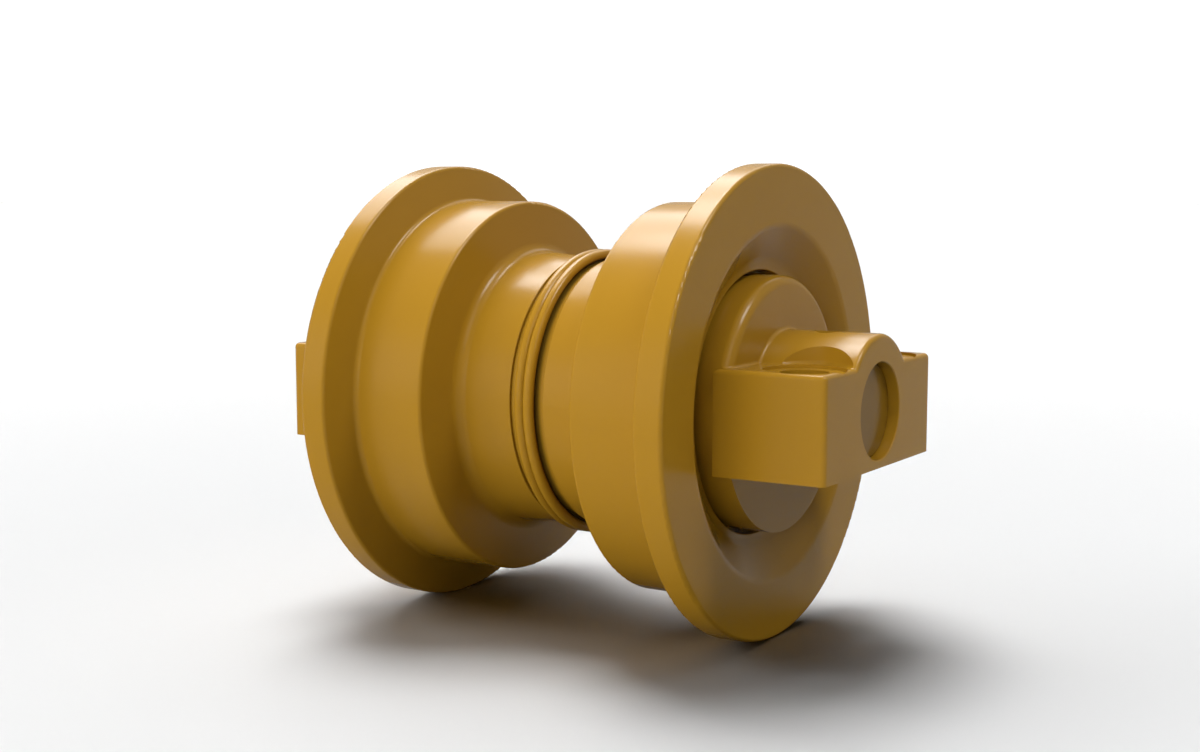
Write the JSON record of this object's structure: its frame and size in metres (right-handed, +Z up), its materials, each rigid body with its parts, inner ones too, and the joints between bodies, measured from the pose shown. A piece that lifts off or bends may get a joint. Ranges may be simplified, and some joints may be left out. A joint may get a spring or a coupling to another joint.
{
  "type": "single flange track roller",
  "caption": "Sealed crawler track roller: a flanged, waisted shell turning on a fixed shaft, carried by end collars with bolt ears.",
  "frame": {"origin": "middle of the roller on the shaft axis", "axes": "+Y along the shaft axis, +Z up, away from the collars' flat faces, +X across"},
  "size_m": [0.24, 0.32, 0.24],
  "materials": {
    "paint": "satin",
    "bare_steel": "ground",
    "seal_iron": "lapped",
    "bronze": "machined",
    "rubber": "matte"
  },
  "bodies": {
    "axle": {"shaft": "paint", "oil_plug": "bare_steel", "left_collar": "paint", "right_collar": "paint", "left_collar_pin": "bare_steel", "right_collar_pin": "bare_steel", "left_shaft_o_ring": "rubber", "right_shaft_o_ring": "rubber", "left_fixed_seal_ring": "seal_iron", "right_fixed_seal_ring": "seal_iron", "left_fixed_toric": "rubber", "right_fixed_toric": "rubber"},
    "roller": {"weld_curls": "paint", "inner_weld_curls": "bare_steel", "left_shell": "paint", "right_shell": "paint", "left_bushing": "bare_steel", "right_bushing": "bare_steel", "left_bushing_lining": "bronze", "right_bushing_lining": "bronze", "left_bushing_dowels": "bare_steel", "right_bushing_dowels": "bare_steel", "left_turning_seal_ring": "seal_iron", "right_turning_seal_ring": "seal_iron", "left_turning_toric": "rubber", "right_turning_toric": "rubber"}
  },
  "joints": [
    {"name": "roller_spin", "type": "hinge", "parent": "axle", "child": "roller", "pos_m": [0, 0, 0], "axis": [0, 1, 0], "continuous": true}
  ]
}
